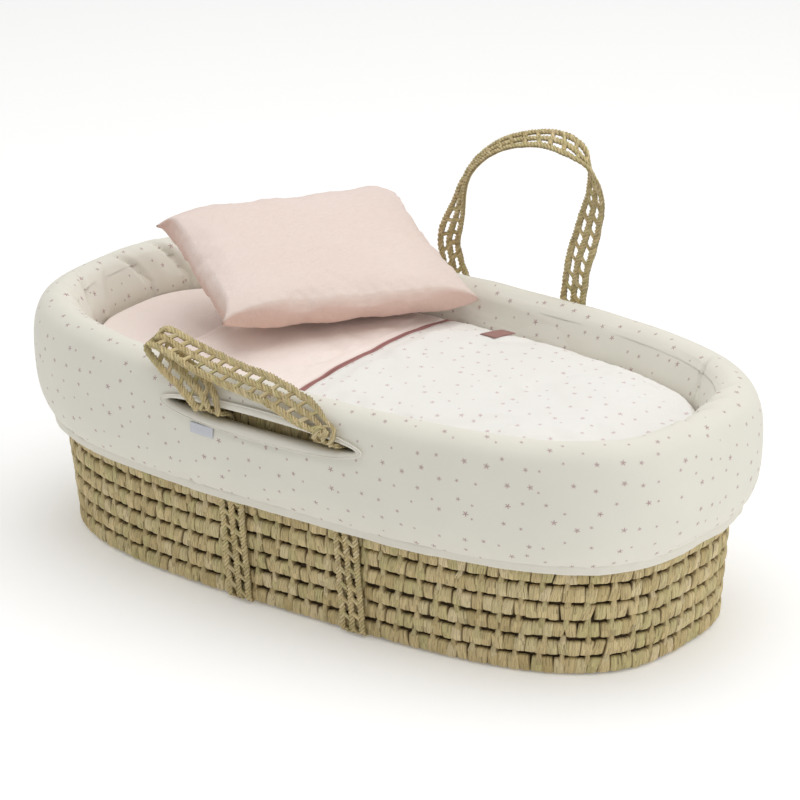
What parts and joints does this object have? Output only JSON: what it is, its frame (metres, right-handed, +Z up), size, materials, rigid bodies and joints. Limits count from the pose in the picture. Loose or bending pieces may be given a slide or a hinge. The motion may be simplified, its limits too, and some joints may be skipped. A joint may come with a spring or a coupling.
{
  "type": "moses basket",
  "caption": "Woven palm-leaf moses basket with corded carry handles, a padded star-print cotton liner, mattress, coverlet and pillow.",
  "frame": {"origin": "centre of the footprint on the floor plane under the basket", "axes": "+X along the basket towards the foot end, +Y across it away from the slumped handle, +Z up"},
  "size_m": [0.8, 0.4189, 0.4168],
  "materials": {
    "palm_leaf": "dry woven leaf, matt",
    "palm_base": "dry woven leaf, matt",
    "palm_cord": "twisted leaf cord, matt",
    "liner_cotton": "off-white cotton with small rose stars",
    "hem_band": "plain cotton hem",
    "slot_facing": "cream bias facing",
    "foam": "soft filling",
    "pink_muslin": "pale pink crinkled cotton",
    "quilt_cotton": "white cotton with small rose stars",
    "rose_piping": "dusty rose piping",
    "rose_label": "blank dusty rose label",
    "grey_label": "blank grey-blue label"
  },
  "bodies": {
    "basket": {"floor_core": "palm_base", "floor_coil_1": "palm_base", "floor_coil_2": "palm_base", "floor_coil_3": "palm_base", "wall_row_01": "palm_leaf", "wall_row_02": "palm_leaf", "wall_row_03": "palm_leaf", "wall_row_04": "palm_leaf", "wall_row_05": "palm_leaf", "wall_row_06": "palm_leaf", "wall_row_07": "palm_leaf", "wall_row_08": "palm_leaf", "wall_row_09": "palm_leaf", "wall_row_10": "palm_leaf", "wall_row_11": "palm_leaf", "rim_braid": "palm_leaf", "head_strap_cord_1": "palm_cord", "head_strap_cord_2": "palm_cord", "head_strap_cord_3": "palm_cord", "foot_strap_cord_1": "palm_cord", "foot_strap_cord_2": "palm_cord", "foot_strap_cord_3": "palm_cord", "liner_hem": "hem_band", "liner_skirt": "liner_cotton", "liner_inner_wall": "liner_cotton", "slot_facing_front": "slot_facing", "slot_facing_back": "slot_facing", "side_label": "grey_label", "foam_riser": "foam"},
    "front_handle": {"front_handle_cord_1": "palm_cord", "front_handle_cord_2_with_links": "palm_cord", "front_handle_cord_3": "palm_cord"},
    "back_handle": {"back_handle_cord_1": "palm_cord", "back_handle_cord_2_with_links": "palm_cord", "back_handle_cord_3": "palm_cord"},
    "mattress": {"mattress": "foam", "fitted_sheet": "pink_muslin"},
    "coverlet": {"coverlet_quilt": "quilt_cotton", "coverlet_turndown": "pink_muslin", "coverlet_piping_1": "rose_piping", "coverlet_piping_2": "rose_piping", "coverlet_label": "rose_label"},
    "pillow": {"pillowcase": "pink_muslin", "pillow_pad": "foam"}
  },
  "joints": [
    {"name": "front_handle_swing", "type": "hinge", "parent": "basket", "child": "front_handle", "pos_m": [0, -0.2035, 0.219], "axis": [1, 0, 0], "range_deg": [-6, 125]},
    {"name": "back_handle_swing", "type": "hinge", "parent": "basket", "child": "back_handle", "pos_m": [0, 0.2035, 0.219], "axis": [1, 0, 0], "range_deg": [-135, 4]},
    {"name": "mattress_lift", "type": "slide", "parent": "basket", "child": "mattress", "axis": [0, 0, 1], "range_m": [0, 0.2]},
    {"name": "coverlet_lift", "type": "slide", "parent": "mattress", "child": "coverlet", "axis": [0, 0, 1], "range_m": [0, 0.12]},
    {"name": "pillow_lift", "type": "slide", "parent": "coverlet", "child": "pillow", "axis": [0, 0, 1], "range_m": [0, 0.12]}
  ]
}
